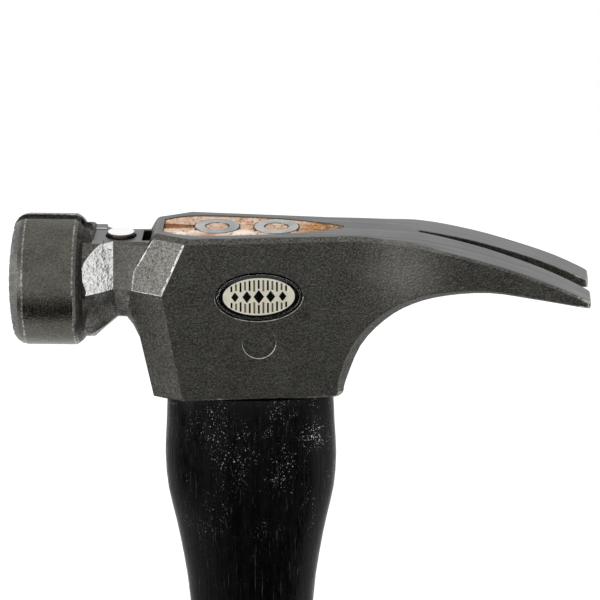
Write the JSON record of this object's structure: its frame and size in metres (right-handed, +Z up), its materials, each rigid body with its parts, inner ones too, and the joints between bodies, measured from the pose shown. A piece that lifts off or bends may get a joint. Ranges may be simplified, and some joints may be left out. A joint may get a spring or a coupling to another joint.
{
  "type": "milled face framing hammer",
  "caption": "Straight claw framing hammer with a cross-milled crowned face, magnetic nail starter, faceted dark cast head and black wooden handle.",
  "frame": {"origin": "centre of the flat butt end of the handle", "axes": "+Z up the handle to the head, striking face along -X, claws along +X, badge cheek along -Y"},
  "size_m": [0.1669, 0.038, 0.4593],
  "materials": {
    "cast_steel": "dark fine cast, top and claw faces ground bright",
    "black_lacquer": "black lacquer over hickory, bare in the eye",
    "wedge_wood": "raw end grain",
    "wedge_steel": "dull ground steel",
    "nickel": "mirror plated",
    "badge_print": "printed ivory and black",
    "clear_resin": "clear domed resin"
  },
  "bodies": {
    "root": {"head": "cast_steel", "handle": "black_lacquer", "kerf_wedge": "wedge_wood", "ring_wedge_front": "wedge_steel", "ring_wedge_rear": "wedge_steel", "nail_magnet": "nickel", "badge_plate": "badge_print", "badge_dome": "clear_resin"}
  },
  "joints": []
}
